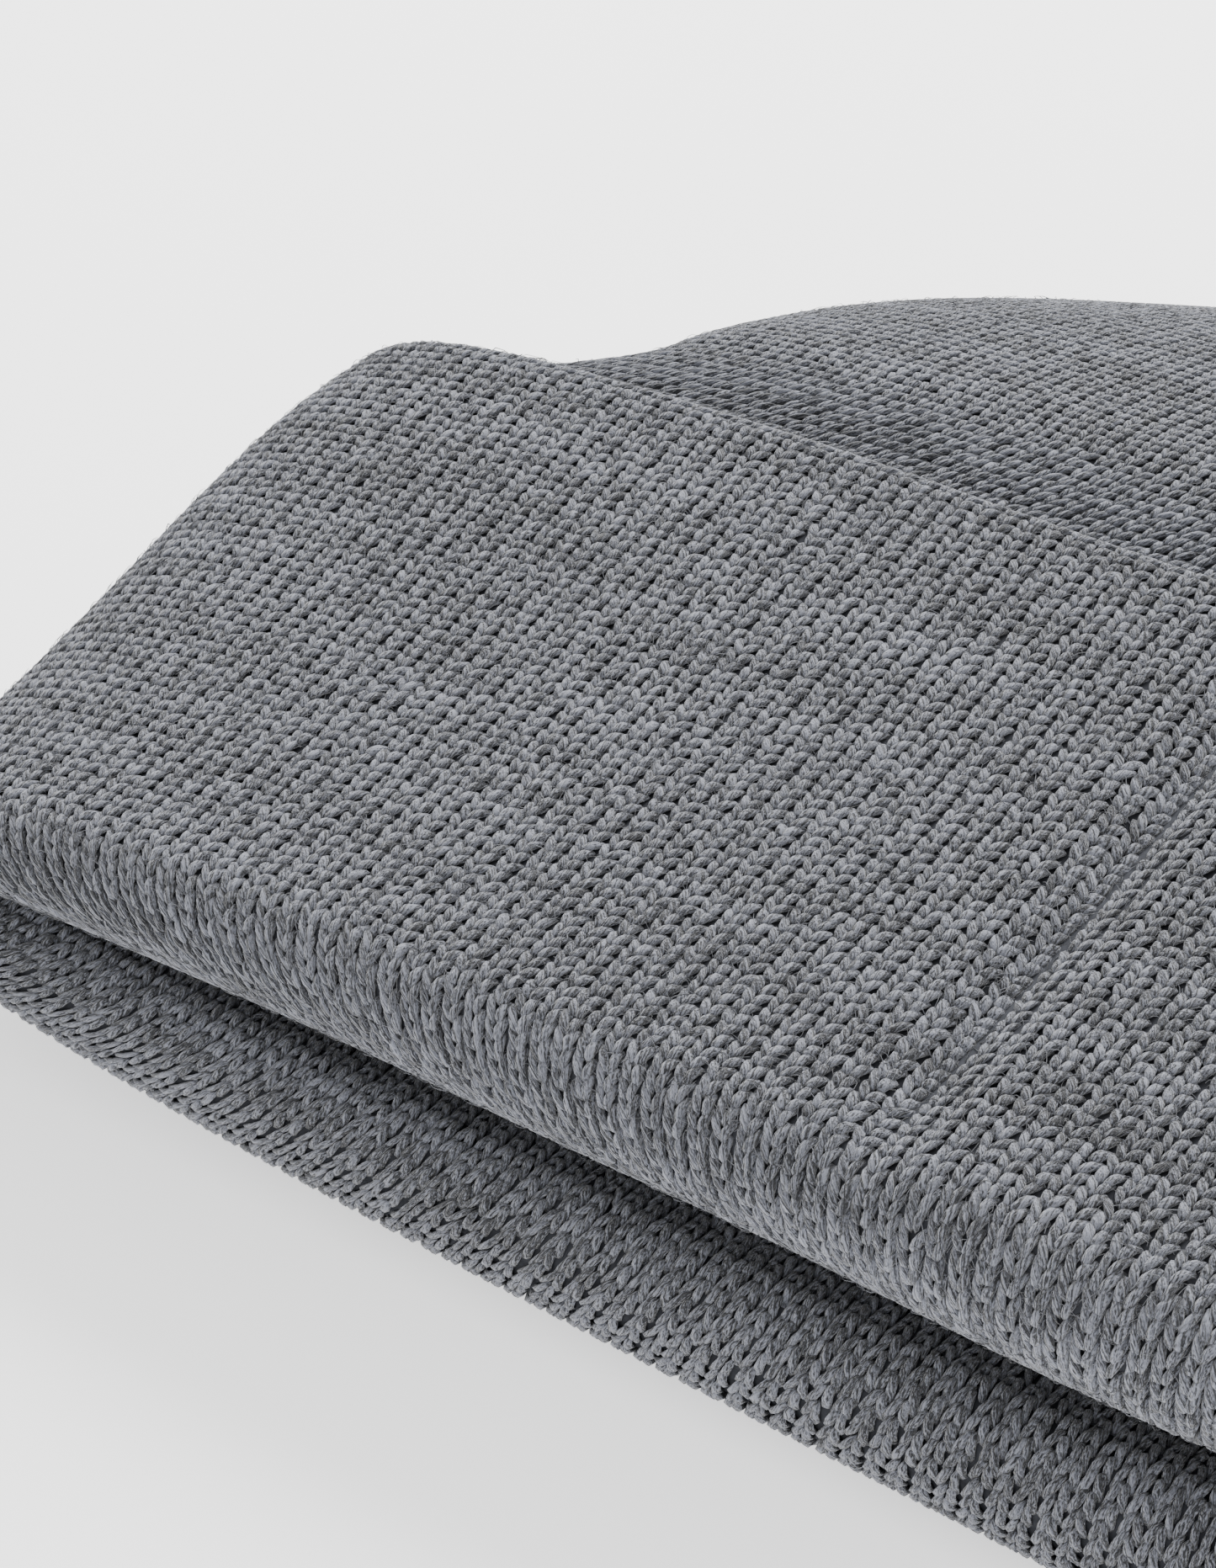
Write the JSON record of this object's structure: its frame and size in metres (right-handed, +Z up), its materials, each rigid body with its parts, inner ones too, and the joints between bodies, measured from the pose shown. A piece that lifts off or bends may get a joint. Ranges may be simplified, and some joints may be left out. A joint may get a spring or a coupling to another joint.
{
  "type": "knit beanie",
  "caption": "Double-layer fine-knit beanie in grey marl, lying flat with its deep cuff turned up and its crown puffed.",
  "frame": {"origin": "centre of the hat's box in X and Y, on the surface it lies on", "axes": "+X along the hat's width, to the wearer's left as seen from its mouth; -Y out of the mouth; +Y to the crown's tip; +Z up from the surface"},
  "size_m": [0.2216, 0.1872, 0.0345],
  "materials": {
    "marl_knit": "matt",
    "lining_knit": "matt",
    "sewing_thread": "matt",
    "label_tape": "satin"
  },
  "bodies": {
    "back_half": {"back_body": "marl_knit", "back_left_gore": "marl_knit", "back_right_gore": "marl_knit", "back_lining": "lining_knit", "back_lining_gore": "lining_knit", "back_rim_fold": "marl_knit", "cuff_back_face": "marl_knit", "cuff_back_backing": "marl_knit", "back_dart_seam": "sewing_thread", "left_dart_seam": "sewing_thread", "right_dart_seam": "sewing_thread", "crown_gather": "sewing_thread", "lining_gather": "sewing_thread", "care_label": "label_tape", "label_stitches": "sewing_thread"},
    "front_half": {"front_body": "marl_knit", "front_left_gore": "marl_knit", "front_right_gore": "marl_knit", "front_lining": "lining_knit", "front_lining_gore": "lining_knit", "front_rim_fold": "marl_knit", "cuff_left_face": "marl_knit", "cuff_left_backing": "marl_knit", "cuff_right_face": "marl_knit", "cuff_right_backing": "marl_knit", "front_dart_seam": "sewing_thread"},
    "cuff_flap": {"cuff_front_face": "marl_knit", "cuff_front_backing": "marl_knit"}
  },
  "joints": [
    {"name": "mouth_open", "type": "hinge", "parent": "back_half", "child": "front_half", "pos_m": [0, 0.0921, 0.009], "axis": [-1, 0, 0], "range_deg": [0, 8]},
    {"name": "cuff_lift", "type": "hinge", "parent": "front_half", "child": "cuff_flap", "pos_m": [0, -0.089, 0.0242], "axis": [1, 0, 0], "range_deg": [0, 35]}
  ]
}
